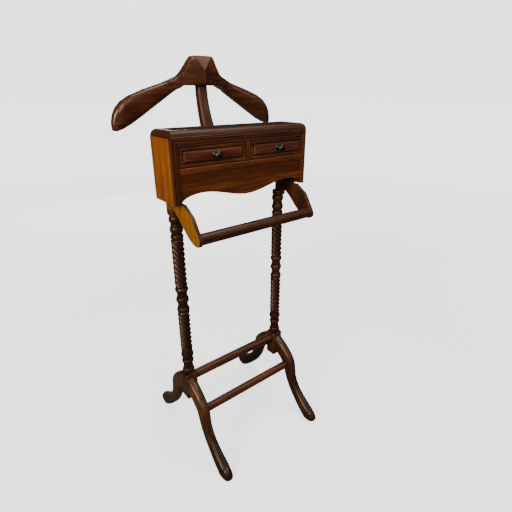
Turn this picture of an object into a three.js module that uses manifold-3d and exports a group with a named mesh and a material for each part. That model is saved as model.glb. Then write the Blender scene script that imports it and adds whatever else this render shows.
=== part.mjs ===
// A mahogany valet stand: four curved feet and two turned posts carry a shallow
// cabinet with a lined tray and two drawers, a trouser bar in front, two shoe
// rails below, and a coat hanger on a curved neck behind.
// Millimetres. +Z up, the front faces -Y, the origin is on the floor midway
// between the two posts.

import * as THREE from 'three';
import { mergeVertices } from 'three/addons/utils/BufferGeometryUtils.js';
import Module from 'manifold-3d';

const wasm = await Module();
wasm.setup();

// ---------------------------------------------------------------- dimensions

const gap = 0.3;
const reach = 400;

// posts
const postX = 170;
const blockHalf = 18.5;
const blockBottom = 174;
const blockTop = 261;
const neckRadius = 14;
const twistRadius = 16;
const shoulderBottom = 749;
const shoulderTop = 764;
const shoulderReach = 27;
const postTopRadius = 16.4;
const tongueInset = 4;
const postTop = 857;

// cabinet
const boxHalf = 203;
const boxFront = -74;
const boxBack = 26;
const boxBottom = 793;
const boxTop = 939;
const rimTop = 955;
const panelThickness = 19;
const backThickness = 12;
const mouldingDepth = 7;
const stileWidths = { left: 19, right: 12 };
const openingTop = 922;
const openingBottom = 875;
const railBottom = 859;
const boardThickness = 12;
const dividerX = 7;
const dividerSetBack = 2;
const railSetBack = 3;
const panelInner = boxHalf - panelThickness;
const stileInner = {
  left: boxHalf - stileWidths.left,
  right: boxHalf - stileWidths.right,
};
const carcaseFront = boxFront + mouldingDepth;
const backInner = boxBack - backThickness;

// tray
const rimWidth = 20;
const rimProfile = [[0.4, 0], [0.4, 3], [1.8, 7.5], [5.2, 12], [9.6, 14.8], [14.5, 15.7]];
const trayFloorTop = 930;
const liningTop = 952;
const feltThickness = 1.5;

// apron
const apronFront = -69;
const apronBack = -57;
const apronBottom = boxBottom - 1.2;
const apronEnd = boxBottom + gap;
const archTop = 813.8;
const archPeakX = 134;

// drawers
const dividerHalf = 6.2;
const dividerClearance = 7;
const stileClearance = 0.8;
const drawerFrontFace = -73;
const drawerFrontBack = -60;
const fieldHeight = 2.5;
const fieldInset = 9;
const drawerBack = 8;
const drawerWall = 8;
const wallInset = 1;
const drawerTop = 915;
const drawerBottomLift = 3;
const drawerBottomThickness = 4;
const knobZ = 898.5;
const knobRadius = 10;
const knobLength = 22;
const knobHoleDepth = 9;

// trouser bar and its brackets
const bracketOuter = panelInner - gap;
const bracketThickness = 10;
const bracketInner = bracketOuter - bracketThickness;
const bracketRear = 4.4;
const bracketHoldY = -54;
const barRadius = 13.9;
const barY = -124;
const barZ = 722;
const tenonRadius = 7;
const tenonLength = 6;

// shoe rails
const rearRailRadius = 14.1;
const rearRailZ = 239.5;
const frontRailRadius = 12.9;
const frontRailY = -71;
const frontRailZ = 161.6;

// neck and hanger
const neckTopZ = 1046.2;
const neckTopY = 129.2;
const neckSquareness = 0.5;
const neckFootZ = 795;
const neckTenon = { halfX: 6, halfY: 5, top: 1075 };
const hangerBottom = 1046.5;
const hangerTop = 1116;
const blockBack = 153;
const wingSetBack = 6;
const wingHalf = 246;
const tipStart = 215;
const tipTaper = 0.8;
const blockSquareness = 0.02;
const wingSquareness = 0.6;
const prowY = 103;
const prowSlope = 0.27;
const prowHalf = 60;
const setBackEnd = 90;
const facetApexZ = 1082;
const facetTopY = 109.8;
const backSlopeZ = 1067;
const backTopY = 130;

// legs
const legX = 172.5;
const legSquareness = 0.7;
const frontRailEnd = 164;

// fasteners
const screwRadius = 2;
const screwHeadRadius = 4;
const screwHeadHeight = 2;
const dowelRadius = 5;
const dowelStart = 5;
const dowelEnd = 44;
const dowelZ = 217;
const neckScrewHeights = [805, 827];
const neckScrewTip = boxBack + 14;
const sideScrewTip = panelInner + 12;

// screws into the side panels, as [y, z] pairs
const rearBracketScrew = [-28, 806];
const frontBracketScrew = [-42, 838];
const postScrew = [9, 822];

// ----------------------------------------------------------------- materials

const finishes = {
  mahogany: { color: 0x3a160c, roughness: 0.3, metalness: 0 },
  amber_panel: { color: 0x9a5a17, roughness: 0.32, metalness: 0 },
  drawer_wood: { color: 0x8a5c38, roughness: 0.6, metalness: 0 },
  felt: { color: 0x0b0a0a, roughness: 0.95, metalness: 0 },
  knob_metal: { color: 0x1d1f1b, roughness: 0.28, metalness: 0.9 },
  steel: { color: 0x9a968c, roughness: 0.4, metalness: 1 },
};

const materials = {};
for (const [name, finish] of Object.entries(finishes)) {
  materials[name] = new THREE.MeshStandardMaterial(finish);
}

// -------------------------------------------------------------- shape helpers

function toSolid(geometry) {
  const bare = geometry.clone();
  bare.deleteAttribute('normal');
  bare.deleteAttribute('uv');
  const merged = mergeVertices(bare, 1e-4);
  return new wasm.Manifold(new wasm.Mesh({
    numProp: 3,
    vertProperties: Float32Array.from(merged.attributes.position.array),
    triVerts: Uint32Array.from(merged.index.array),
  }));
}

function toGeometry(solid) {
  const mesh = solid.getMesh();
  const geometry = new THREE.BufferGeometry();
  geometry.setAttribute('position', new THREE.BufferAttribute(mesh.vertProperties, 3));
  geometry.setIndex(new THREE.BufferAttribute(mesh.triVerts, 1));
  geometry.computeVertexNormals();
  return geometry;
}

function block([x0, x1], [y0, y1], [z0, z1]) {
  const geometry = new THREE.BoxGeometry(Math.abs(x1 - x0), Math.abs(y1 - y0), Math.abs(z1 - z0));
  geometry.translate((x0 + x1) / 2, (y0 + y1) / 2, (z0 + z1) / 2);
  return toSolid(geometry);
}

// An outline of [y, z] pairs extruded along X, whichever way the two ends run.
function prismX(outline, x0, x1) {
  const shape = new THREE.Shape(outline.map(([y, z]) => new THREE.Vector2(y, z)));
  const geometry = new THREE.ExtrudeGeometry(shape, { depth: Math.abs(x1 - x0), bevelEnabled: false });
  const turn = new THREE.Matrix4().makeBasis(
    new THREE.Vector3(0, 1, 0),
    new THREE.Vector3(0, 0, 1),
    new THREE.Vector3(1, 0, 0),
  );
  geometry.applyMatrix4(turn);
  geometry.translate(Math.min(x0, x1), 0, 0);
  return toSolid(geometry);
}

// An outline of [x, z] pairs extruded along Y from y0 back to y1.
function prismY(outline, y0, y1) {
  const shape = new THREE.Shape(outline.map(([x, z]) => new THREE.Vector2(x, z)));
  const geometry = new THREE.ExtrudeGeometry(shape, { depth: y1 - y0, bevelEnabled: false });
  geometry.rotateX(Math.PI / 2);
  geometry.translate(0, y1, 0);
  return toSolid(geometry);
}

// A turned solid about the vertical line through x and y, from [radius, z] pairs.
function turned(profile, x, y, sides = 20) {
  const points = profile.map(([radius, z]) => new THREE.Vector2(radius, z));
  const geometry = new THREE.LatheGeometry(points, sides);
  geometry.rotateX(Math.PI / 2);
  geometry.translate(x, y, 0);
  return toSolid(geometry);
}

// A round rod along X.
function rodX(radius, x0, x1, y, z, sides = 24) {
  const geometry = new THREE.CylinderGeometry(radius, radius, Math.abs(x1 - x0), sides);
  geometry.rotateZ(Math.PI / 2);
  geometry.translate((x0 + x1) / 2, y, z);
  return toSolid(geometry);
}

// A round rod along Y.
function rodY(radius, y0, y1, x, z, sides = 16) {
  const geometry = new THREE.CylinderGeometry(radius, radius, Math.abs(y1 - y0), sides);
  geometry.translate(x, (y0 + y1) / 2, z);
  return toSolid(geometry);
}

// A closed skin over rings of equal length. Each ring runs anticlockwise seen
// from the last ring.
function loft(rings) {
  const count = rings[0].length;
  const last = (rings.length - 1) * count;
  const positions = rings.flat().flatMap((point) => point.toArray());
  const indices = [];
  for (let ring = 0; ring < rings.length - 1; ring += 1) {
    for (let i = 0; i < count; i += 1) {
      const a = ring * count + i;
      const b = ring * count + (i + 1) % count;
      indices.push(a, b, b + count, a, b + count, a + count);
    }
  }
  for (let i = 1; i < count - 1; i += 1) {
    indices.push(0, i + 1, i);
    indices.push(last, last + i, last + i + 1);
  }
  const geometry = new THREE.BufferGeometry();
  geometry.setAttribute('position', new THREE.Float32BufferAttribute(positions, 3));
  geometry.setIndex(indices);
  return toSolid(geometry);
}

// Points round a rounded rectangle, anticlockwise: a squareness of 1 makes an
// ellipse, and a lower one a squarer shape.
function sectionPoints(halfWidth, halfHeight, squareness, sides) {
  return Array.from({ length: sides }, (_, i) => {
    const angle = (2 * Math.PI * (i + 0.5)) / sides;
    const c = Math.cos(angle);
    const s = Math.sin(angle);
    return [
      halfWidth * Math.sign(c) * Math.abs(c) ** squareness,
      halfHeight * Math.sign(s) * Math.abs(s) ** squareness,
    ];
  });
}

// The value of evenly spaced samples at t from 0 to 1.
function sample(values, t) {
  const place = t * (values.length - 1);
  const index = Math.min(Math.floor(place), values.length - 2);
  return THREE.MathUtils.lerp(values[index], values[index + 1], place - index);
}

// A bar swept along a curve in a plane of constant x. Width runs along X and
// depth across the curve.
function sweptBar(curve, x, widths, depths, squareness, steps, sides) {
  const rings = [];
  for (let step = 0; step <= steps; step += 1) {
    const t = step / steps;
    const centre = curve.getPointAt(t);
    const tangent = curve.getTangentAt(t);
    const across = new THREE.Vector3(0, tangent.z, -tangent.y);
    const outline = sectionPoints(sample(widths, t) / 2, sample(depths, t) / 2, squareness, sides);
    const place = ([u, v]) => new THREE.Vector3(x + u, centre.y, centre.z).addScaledVector(across, v);
    rings.push(outline.map(place));
  }
  return loft(rings);
}

function curveInPlane(points) {
  return new THREE.CatmullRomCurve3(points.map(([y, z]) => new THREE.Vector3(0, y, z)));
}

const stand = new THREE.Group();

function add(name, solid, material) {
  const mesh = new THREE.Mesh(toGeometry(solid), materials[material]);
  mesh.name = name;
  stand.add(mesh);
}

const sides = [['left', -1], ['right', 1]];
const ends = [['front', -1], ['rear', 1]];

// ---------------------------------------------------------------------- posts

function bead(z, radius, halfHeight) {
  return [-1, -0.6, 0, 0.6, 1].map((t) => [
    neckRadius + (radius - neckRadius) * Math.sqrt(1 - t * t),
    z + t * halfHeight,
  ]);
}

function postProfile() {
  return [
    [0, blockTop - 4],
    [neckRadius, blockTop - 4],
    ...bead(271, 17.6, 9),
    ...bead(304, 17.2, 7),
    [neckRadius + 0.5, 313],
    [18.2, 326],
    [14.6, 339],
    [twistRadius, 345],
    [twistRadius, 469],
    ...bead(480, 17.2, 7),
    [neckRadius, 495],
    ...bead(510.6, 17.4, 8),
    [neckRadius, 528],
    [18.2, 542],
    [14.6, 553],
    [twistRadius, 559],
    [twistRadius, 681],
    ...bead(693, 16.8, 7),
    ...bead(713, 17.2, 8),
    ...bead(740, 17.4, 8),
    [neckRadius, shoulderBottom],
    [postTopRadius, shoulderBottom + 4],
    [postTopRadius, shoulderTop],
    [0, shoulderTop],
  ];
}

// The tongue on the outer side of a post: rounded into a shoulder below, flat
// against the inside of the side panel, and notched for the bracket.
function postTongue(x, sign) {
  const inner = x + sign * tongueInset;
  const outer = sign * bracketOuter;
  const below = block([inner, outer], [-blockHalf, blockHalf], [shoulderBottom, boxBottom - gap]);
  const inside = block([inner, outer], [-blockHalf, backInner - gap], [shoulderTop, postTop]);
  const rounding = turned([
    [0, shoulderBottom],
    [neckRadius + 3, shoulderBottom],
    [20.5, shoulderBottom + 4],
    [24, shoulderBottom + 10],
    [shoulderReach, shoulderTop],
    [shoulderReach, postTop + 1],
    [0, postTop + 1],
  ], x, 0, 32);
  const notch = prismX([
    [bracketRear, 779.6],
    [bracketRear, postTop + 1],
    [-blockHalf - 1, postTop + 1],
    [-blockHalf - 1, 769.6],
    [-12.7, 772.6],
  ], sign * (bracketInner - gap), sign * (bracketOuter + 1));
  return below.add(inside).intersect(rounding).subtract(notch);
}

function legSocket(sign, direction) {
  const ends = [direction * (dowelStart - 1), direction * (dowelEnd + 1)];
  return rodY(dowelRadius + gap, ...ends, sign * postX, dowelZ);
}

// Clearance holes for the screws that run outward into a side panel.
function drillSide(solid, sign, places) {
  return places.reduce(
    (drilled, [y, z]) => drilled.subtract(
      rodX(screwRadius + gap, sign * (postX - blockHalf - 1), sign * (sideScrewTip + gap), y, z, 12),
    ),
    solid,
  );
}

// A screw whose head sits on the inner face at the given distance from the middle.
function sideScrew(sign, face, [y, z]) {
  const seat = face - gap;
  const shank = rodX(screwRadius, sign * (seat - 1), sign * sideScrewTip, y, z, 12);
  return shank.add(rodX(screwHeadRadius, sign * (seat - screwHeadHeight), sign * seat, y, z, 12));
}

function addPost(side, sign) {
  const x = sign * postX;
  let post = turned(postProfile(), x, 0);
  post = post.add(block([x - blockHalf, x + blockHalf], [-blockHalf, blockHalf], [blockBottom, blockTop]));
  post = post.add(postTongue(x, sign));
  const railFace = x - sign * (blockHalf + 1);
  const socketEnd = x - sign * (blockHalf - tenonLength - gap);
  post = post.subtract(rodX(tenonRadius + gap, railFace, socketEnd, 0, rearRailZ));
  for (const [, direction] of ends) {
    post = post.subtract(legSocket(sign, direction));
  }
  add(`${side}_post`, drillSide(post, sign, [postScrew]), 'mahogany');
  add(`${side}_post_screw`, sideScrew(sign, postX + tongueInset, postScrew), 'steel');
}

// ----------------------------------------------------------------------- legs

// The centre line of a leg as [distance out from the post, height] pairs.
const legLine = [
  [4, 226],
  [32, 211],
  [58, 192],
  [76, 171],
  [83.5, 147],
  [90, 122],
  [102, 97],
  [118.5, 74],
  [143, 49.5],
  [168, 29],
  [188, 17],
  [207, 28],
];
const legDepths = [50, 50, 50, 50, 44, 38, 35, 35, 37, 41, 43, 38];
const legWidths = [32, 32, 31, 30, 29, 28, 27.5, 27.5, 29, 31, 32, 25];

function addLeg(side, sign, end, direction) {
  const x = sign * legX;
  const curve = curveInPlane(legLine.map(([out, z]) => [direction * out, z]));
  let leg = sweptBar(curve, x, legWidths, legDepths, legSquareness, 26, 12);
  const outside = direction * (blockHalf + gap);
  leg = leg.subtract(block([-reach, reach], [outside, -direction * reach], [-reach, 2 * reach]));
  leg = leg.subtract(block([-reach, reach], [-reach, reach], [-reach, 0]));
  leg = leg.subtract(legSocket(sign, direction));
  if (direction < 0) {
    const railHole = rodX(frontRailRadius + gap, 0, sign * (frontRailEnd + gap), frontRailY, frontRailZ);
    leg = leg.subtract(railHole);
  }
  add(`${side}_${end}_leg`, leg, 'mahogany');
  const dowel = rodY(dowelRadius, direction * dowelStart, direction * dowelEnd, sign * postX, dowelZ);
  add(`${side}_${end}_leg_dowel`, dowel, 'drawer_wood');
}

// ------------------------------------------------------- rails between sides

// A rod with a thinner tenon at each end, centred on the middle plane.
function tenonedRod(radius, shoulder, y, z) {
  const rod = rodX(radius, -shoulder, shoulder, y, z);
  return rod.add(rodX(tenonRadius, -shoulder - tenonLength, shoulder + tenonLength, y, z));
}

function addRails() {
  add('rear_shoe_rail', tenonedRod(rearRailRadius, postX - blockHalf - gap, 0, rearRailZ), 'mahogany');
  const frontRail = rodX(frontRailRadius, -frontRailEnd, frontRailEnd, frontRailY, frontRailZ);
  add('front_shoe_rail', frontRail, 'mahogany');
  add('trouser_bar', tenonedRod(barRadius, bracketInner - gap, barY, barZ), 'mahogany');
}

function addBracket(side, sign) {
  const outline = [
    [bracketRear - gap, 780],
    [bracketRear - gap, postTop],
    [bracketHoldY, postTop],
    [bracketHoldY, boxBottom - gap],
    [-73, boxBottom - gap],
    [-107, 772],
    [-121, 751],
    [-134, 731],
    [-138.5, 722],
    [-137, 713],
    [-131, 707],
    [-121, 704.8],
    [-106, 708],
    [-91.7, 714.5],
    [-76.7, 725],
    [-64, 736],
    [-53, 746.5],
    [-38, 759],
    [-25, 767.5],
    [-12.7, 773],
  ];
  let bracket = prismX(outline, sign * bracketInner, sign * bracketOuter);
  const socketEnd = sign * (bracketInner + tenonLength + gap);
  bracket = bracket.subtract(rodX(tenonRadius + gap, 0, socketEnd, barY, barZ));
  bracket = drillSide(bracket, sign, [rearBracketScrew, frontBracketScrew]);
  add(`${side}_bracket`, bracket, 'mahogany');
  add(`${side}_bracket_screw_rear`, sideScrew(sign, bracketInner, rearBracketScrew), 'steel');
  add(`${side}_bracket_screw_front`, sideScrew(sign, bracketInner, frontBracketScrew), 'steel');
}

// -------------------------------------------------------------------- cabinet

function addCarcase() {
  const carcaseStart = carcaseFront + gap;
  for (const [side, sign] of sides) {
    const thickness = [sign * panelInner, sign * boxHalf];
    let panel = block(thickness, [carcaseStart, boxBack], [boxBottom, boxTop]);
    if (stileInner[side] > panelInner) {
      const rebate = [sign * (panelInner - 1), sign * stileInner[side]];
      const depth = [carcaseStart - 1, apronBack + gap];
      panel = panel.subtract(block(rebate, depth, [boxBottom - 1, openingTop]));
    }
    const screws = [rearBracketScrew, frontBracketScrew, postScrew];
    add(`${side}_side_panel`, drillSide(panel, sign, screws), 'amber_panel');
  }
  const inside = [-panelInner + gap, panelInner - gap];
  const behind = [apronBack + gap, backInner - gap];
  const under = [openingBottom - boardThickness, openingBottom - gap];
  const over = [openingTop, boxTop - gap];
  let back = block(inside, [backInner, boxBack], [boxBottom, boxTop - gap]);
  for (const z of neckScrewHeights) {
    back = back.subtract(rodY(screwRadius + gap, backInner - 1, boxBack + 1, 0, z, 12));
  }
  add('back_panel', back, 'mahogany');
  add('tray_floor', block(inside, behind, [openingTop, trayFloorTop]), 'mahogany');
  add('tray_front_rail', block(inside, [carcaseStart, apronBack], over), 'mahogany');
  add('drawer_floor', block(inside, behind, under), 'mahogany');
  const divider = block(
    [dividerX - dividerHalf, dividerX + dividerHalf],
    [boxFront + dividerSetBack, backInner - gap],
    [openingBottom, openingTop - gap],
  );
  add('drawer_divider', divider, 'mahogany');
}

function addFaceFrame() {
  for (const [side, sign] of sides) {
    const outline = [
      [sign * stileInner[side], boxBottom],
      [sign * boxHalf, boxBottom],
      [sign * boxHalf, boxTop - 2 * gap],
      [sign * stileInner[side], openingTop - 2 * gap],
    ];
    add(`${side}_stile`, prismY(outline, boxFront, carcaseFront), 'mahogany');
  }
  const railOutline = [
    [-boxHalf, boxTop],
    [-stileInner.left, openingTop],
    [stileInner.right, openingTop],
    [boxHalf, boxTop],
  ];
  add('top_rail', prismY(railOutline, boxFront, carcaseFront), 'mahogany');
  const lowerRail = block(
    [-stileInner.left + gap, stileInner.right - gap],
    [boxFront + railSetBack, apronBack],
    [railBottom + gap, openingBottom - gap],
  );
  add('lower_rail', lowerRail, 'mahogany');
}

// Height of the apron's lower edge: a hanging lobe below the divider and a
// quarter ellipse at each end.
function apronEdge(x) {
  const distance = Math.abs(x - dividerX);
  if (distance < archPeakX) {
    const swing = (1 - Math.cos((Math.PI * distance) / archPeakX)) / 2;
    return apronBottom + (archTop - apronBottom) * swing;
  }
  const end = x < 0 ? stileInner.left - gap + dividerX : stileInner.right - gap - dividerX;
  const along = (distance - archPeakX) / (end - archPeakX);
  return apronEnd + (archTop - apronEnd) * Math.sqrt(Math.max(0, 1 - along * along));
}

function addApron() {
  const start = -stileInner.left + gap;
  const end = stileInner.right - gap;
  const steps = 48;
  const outline = [[end, railBottom], [start, railBottom]];
  for (let step = 0; step <= steps; step += 1) {
    const x = start + (end - start) * (1 - Math.cos((Math.PI * step) / steps)) / 2;
    outline.push([x, apronEdge(x)]);
  }
  add('apron', prismY(outline, apronFront, apronBack), 'mahogany');
}

// ----------------------------------------------------------------------- tray

// Four mitred mouldings. Each section runs inward from the cabinet's edge.
function addRim() {
  const centreY = (boxFront + boxBack) / 2;
  const halfDepth = (boxBack - boxFront) / 2;
  const top = rimTop - boxTop - gap;
  const section = [...rimProfile, [rimWidth, top], [rimWidth, 0]];
  // Each ring is the section at one end, pushed in along the mitre.
  const mitred = (place) => {
    const start = section.map(([inset, up]) => place(-1, inset + gap / 2, inset, up));
    const finish = section.map(([inset, up]) => place(1, inset + gap / 2, inset, up));
    return loft([finish, start]);
  };
  const bottom = boxTop + gap;
  add('rim_front', mitred((end, back, inset, up) => new THREE.Vector3(
    end * (boxHalf - back), boxFront + inset, bottom + up)), 'mahogany');
  add('rim_back', mitred((end, back, inset, up) => new THREE.Vector3(
    -end * (boxHalf - back), boxBack - inset, bottom + up)), 'mahogany');
  add('rim_left', mitred((end, back, inset, up) => new THREE.Vector3(
    -boxHalf + inset, centreY - end * (halfDepth - back), bottom + up)), 'mahogany');
  add('rim_right', mitred((end, back, inset, up) => new THREE.Vector3(
    boxHalf - inset, centreY + end * (halfDepth - back), bottom + up)), 'mahogany');
}

function addLining() {
  const inset = rimWidth + gap;
  const x = boxHalf - inset;
  const front = boxFront + inset;
  const back = boxBack - inset;
  const floor = trayFloorTop + gap;
  const shell = block([-x, x], [front, back], [floor, liningTop]);
  const hollow = block(
    [-x + feltThickness, x - feltThickness],
    [front + feltThickness, back - feltThickness],
    [floor + feltThickness, rimTop + 1],
  );
  add('tray_lining', shell.subtract(hollow), 'felt');
}

// -------------------------------------------------------------------- drawers

function knobProfile() {
  return [
    [0, 0],
    [8, 0],
    [8.4, 2],
    [5, 4],
    [4.4, 7],
    [6, 10],
    [9.2, 13],
    [knobRadius, 16],
    [9, 19.5],
    [5, 21.6],
    [0, knobLength],
  ];
}

function addDrawer(side, sign) {
  const span = (from, to) => [sign * from, sign * to];
  const inner = dividerClearance + sign * dividerX;
  const outer = stileInner[side] - stileClearance;
  const wallOuter = panelInner - stileClearance - wallInset;
  const lipFace = drawerFrontFace + fieldHeight;
  const low = openingBottom + 2 * gap;
  const high = openingTop - 3 * gap;
  const x = sign * (inner + outer) / 2;

  let front = block(span(inner, outer), [lipFace, drawerFrontBack], [low, high]);
  front = front.add(block(
    span(inner + fieldInset, outer - fieldInset),
    [drawerFrontFace, lipFace + 1],
    [low + fieldInset, high - fieldInset],
  ));
  front = front.subtract(rodY(screwRadius + gap, drawerFrontFace - 1, drawerFrontBack + 1, x, knobZ, 12));
  add(`${side}_drawer_front`, front, 'mahogany');

  const wallStart = drawerFrontBack + gap;
  const wallZ = [openingBottom + gap, drawerTop];
  const outerWall = [wallOuter - drawerWall, wallOuter];
  const innerWall = [inner + wallInset, inner + wallInset + drawerWall];
  const wallY = [wallStart, drawerBack];
  add(`${side}_drawer_outer_side`, block(span(...outerWall), wallY, wallZ), 'drawer_wood');
  add(`${side}_drawer_inner_side`, block(span(...innerWall), wallY, wallZ), 'drawer_wood');

  const inside = span(innerWall[1] + gap, outerWall[0] - gap);
  const bottomLow = openingBottom + drawerBottomLift;
  const backFace = drawerBack - drawerWall;
  const back = block(inside, [backFace, drawerBack], [bottomLow, drawerTop]);
  const bottom = block(
    inside,
    [wallStart, backFace - gap],
    [bottomLow, bottomLow + drawerBottomThickness],
  );
  add(`${side}_drawer_back`, back, 'drawer_wood');
  add(`${side}_drawer_bottom`, bottom, 'drawer_wood');

  const knobFoot = drawerFrontFace - gap;
  const knobPoints = knobProfile().map(([radius, out]) => new THREE.Vector2(radius, out));
  const knobGeometry = new THREE.LatheGeometry(knobPoints, 20);
  knobGeometry.rotateX(Math.PI);
  knobGeometry.translate(x, knobFoot, knobZ);
  const knob = toSolid(knobGeometry);
  const screwTip = knobFoot - knobHoleDepth;
  const socket = rodY(screwRadius + gap, screwTip - gap, knobFoot + 1, x, knobZ, 12);
  add(`${side}_knob`, knob.subtract(socket), 'knob_metal');

  const headFace = drawerFrontBack + gap;
  const screw = rodY(screwRadius, screwTip, headFace + 1, x, knobZ, 12)
    .add(rodY(screwHeadRadius, headFace, headFace + screwHeadHeight, x, knobZ, 12));
  add(`${side}_knob_screw`, screw, 'steel');
}

// ------------------------------------------------------------ neck and hanger

function neckCurve() {
  return curveInPlane([
    [40.5, neckFootZ],
    [41, 815],
    [45, 835],
    [58, 859],
    [76, 886],
    [93, 916],
    [107, 948],
    [118, 980],
    [125.4, 1012],
    [neckTopY, neckTopZ],
  ]);
}

function addNeck() {
  const widths = [42, 41, 40, 38, 36, 33, 30.5, 29];
  const depths = [30, 30, 30, 30, 28, 26, 24, 23];
  let neck = sweptBar(neckCurve(), 0, widths, depths, neckSquareness, 18, 12);
  neck = neck.subtract(block([-reach, reach], [-reach, boxBack + gap], [0, 3 * reach]));
  neck = neck.subtract(block([-reach, reach], [-reach, reach], [neckTopZ, 3 * reach]));
  neck = neck.add(block(
    [-neckTenon.halfX, neckTenon.halfX],
    [neckTopY - neckTenon.halfY, neckTopY + neckTenon.halfY],
    [neckTopZ - 5, neckTenon.top],
  ));
  for (const z of neckScrewHeights) {
    neck = neck.subtract(rodY(screwRadius + gap, boxBack, neckScrewTip + gap, 0, z, 12));
  }
  add('neck', neck, 'mahogany');
}

function addNeckScrews() {
  neckScrewHeights.forEach((z, index) => {
    const screw = rodY(screwRadius, backInner - gap - 1, neckScrewTip, 0, z, 12)
      .add(rodY(screwHeadRadius, backInner - gap - screwHeadHeight, backInner - gap, 0, z, 12));
    add(`neck_screw_${index === 0 ? 'lower' : 'upper'}`, screw, 'steel');
  });
}

// Upper and lower edges of one wing, seen from the front, as [x, z] pairs.
const wingTop = [
  [0, hangerTop],
  [27, 1115.6],
  [31.5, 1113.5],
  [37, 1105],
  [45, 1090.5],
  [55, 1075.5],
  [64, 1069],
  [82, 1062],
  [96, 1057],
  [111, 1052],
  [159, 1037],
  [196, 1023.5],
  [218, 1011],
  [232, 997],
  [241, 982],
  [wingHalf, 968],
];
const wingBottom = [
  [0, hangerBottom],
  [53, hangerBottom],
  [69, 1037],
  [113, 1009],
  [143, 990.5],
  [171, 973],
  [197, 957.5],
  [221, 946],
  [236, 941.5],
  [wingHalf, 943],
];

function heightAt(edge, x) {
  const next = Math.max(1, edge.findIndex(([place]) => place >= x));
  const [x0, z0] = edge[next - 1];
  const [x1, z1] = edge[next];
  return THREE.MathUtils.mapLinear(x, x0, x1, z0, z1);
}

function wingSection(x) {
  const top = heightAt(wingTop, x);
  const bottom = heightAt(wingBottom, x);
  const intoWing = THREE.MathUtils.smoothstep(x, prowHalf, setBackEnd);
  const shift = wingSetBack * intoWing;
  const front = prowY + prowSlope * Math.min(x, prowHalf) + shift;
  const back = blockBack + shift;
  const pastStart = Math.max(0, (x - tipStart) / (wingHalf - tipStart));
  const taper = Math.sqrt(1 - tipTaper * pastStart ** 2);
  const middle = (front + back) / 2;
  const squareness = x < prowHalf ? blockSquareness : wingSquareness;
  return sectionPoints(((back - front) / 2) * taper, (top - bottom) / 2, squareness, 12)
    .map(([across, up]) => [middle + across, (top + bottom) / 2 + up]);
}

function addWing(side, sign) {
  const stations = [
    gap / 2, 27, 31.5, 37, 45, 55, 64, 82, 96, 111, 135, 159, 178, 196, 208, 218, 228, 236, 242, wingHalf,
  ];
  const rings = stations.map((x) => {
    const ring = wingSection(x).map(([y, z]) => new THREE.Vector3(sign * x, y, z));
    return sign > 0 ? ring : ring.reverse();
  });
  let wing = loft(rings);
  const facetCut = prismX([
    [0, facetApexZ],
    [prowY, facetApexZ],
    [facetTopY, hangerTop],
    [facetTopY + 2, hangerTop + 9],
    [0, hangerTop + 9],
  ], -reach, reach);
  const backCut = prismX([
    [blockBack + 1, backSlopeZ],
    [backTopY, hangerTop],
    [backTopY - 4, hangerTop + 9],
    [blockBack + 50, hangerTop + 9],
    [blockBack + 50, backSlopeZ],
  ], -reach, reach);
  wing = wing.subtract(facetCut).subtract(backCut);
  const mortise = block(
    [-neckTenon.halfX - gap, neckTenon.halfX + gap],
    [neckTopY - neckTenon.halfY - gap, neckTopY + neckTenon.halfY + gap],
    [hangerBottom - 20, neckTenon.top + gap],
  );
  add(`${side}_hanger_wing`, wing.subtract(mortise), 'mahogany');
}

// ------------------------------------------------------------------- assembly

for (const [side, sign] of sides) {
  addPost(side, sign);
  for (const [end, direction] of ends) {
    addLeg(side, sign, end, direction);
  }
  addBracket(side, sign);
  addDrawer(side, sign);
  addWing(side, sign);
}
addRails();
addCarcase();
addFaceFrame();
addApron();
addRim();
addLining();
addNeck();
addNeckScrews();

export default stand;
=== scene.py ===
"""The looks of a mahogany valet stand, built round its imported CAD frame.

Metres, +Z up, the front faces -Y and the stand is on the floor at z = 0.
Lengths written in millimetres are multiplied by MM.
"""
import math

import bmesh
import bpy
import numpy as np
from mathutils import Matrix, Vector


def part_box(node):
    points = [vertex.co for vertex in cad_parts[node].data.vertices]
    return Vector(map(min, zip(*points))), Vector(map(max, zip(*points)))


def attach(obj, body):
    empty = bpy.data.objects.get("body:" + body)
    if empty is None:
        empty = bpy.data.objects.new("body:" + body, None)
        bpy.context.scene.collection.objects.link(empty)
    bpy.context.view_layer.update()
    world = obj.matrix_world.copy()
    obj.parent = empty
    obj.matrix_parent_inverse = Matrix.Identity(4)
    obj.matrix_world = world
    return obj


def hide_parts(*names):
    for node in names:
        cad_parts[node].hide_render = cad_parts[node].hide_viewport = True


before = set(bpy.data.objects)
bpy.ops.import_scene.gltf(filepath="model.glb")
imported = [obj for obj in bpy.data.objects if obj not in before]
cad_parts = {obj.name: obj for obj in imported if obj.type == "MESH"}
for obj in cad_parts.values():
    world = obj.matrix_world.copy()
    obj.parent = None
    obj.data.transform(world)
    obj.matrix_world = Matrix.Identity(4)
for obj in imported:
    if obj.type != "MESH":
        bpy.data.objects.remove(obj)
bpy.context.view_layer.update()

MM = 0.001
SIDES = (("left", -1), ("right", 1))
ENDS = (("front", -1), ("rear", 1))
TAU = 2 * math.pi


# --------------------------------------------------------------------- camera

CAMERA_PLACE = (-0.5675, -0.8239, 1.0306)
CAMERA_TILT_DOWN = 23.685
CAMERA_HEADING = -38.44
CAMERA_ROLL = -0.09
CAMERA_LENS = 26.28
CAMERA_SENSOR = 36
CAMERA_NEAR = 0.01


def add_camera():
    data = bpy.data.cameras.new("camera")
    data.lens = CAMERA_LENS
    data.sensor_width = CAMERA_SENSOR
    data.clip_start = CAMERA_NEAR
    camera = bpy.data.objects.new("camera", data)
    camera.location = CAMERA_PLACE
    camera.rotation_euler = [math.radians(a) for a in (90 - CAMERA_TILT_DOWN, CAMERA_ROLL, CAMERA_HEADING)]
    bpy.context.scene.collection.objects.link(camera)
    bpy.context.scene.camera = camera


# ------------------------------------------------------------------ materials

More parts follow.
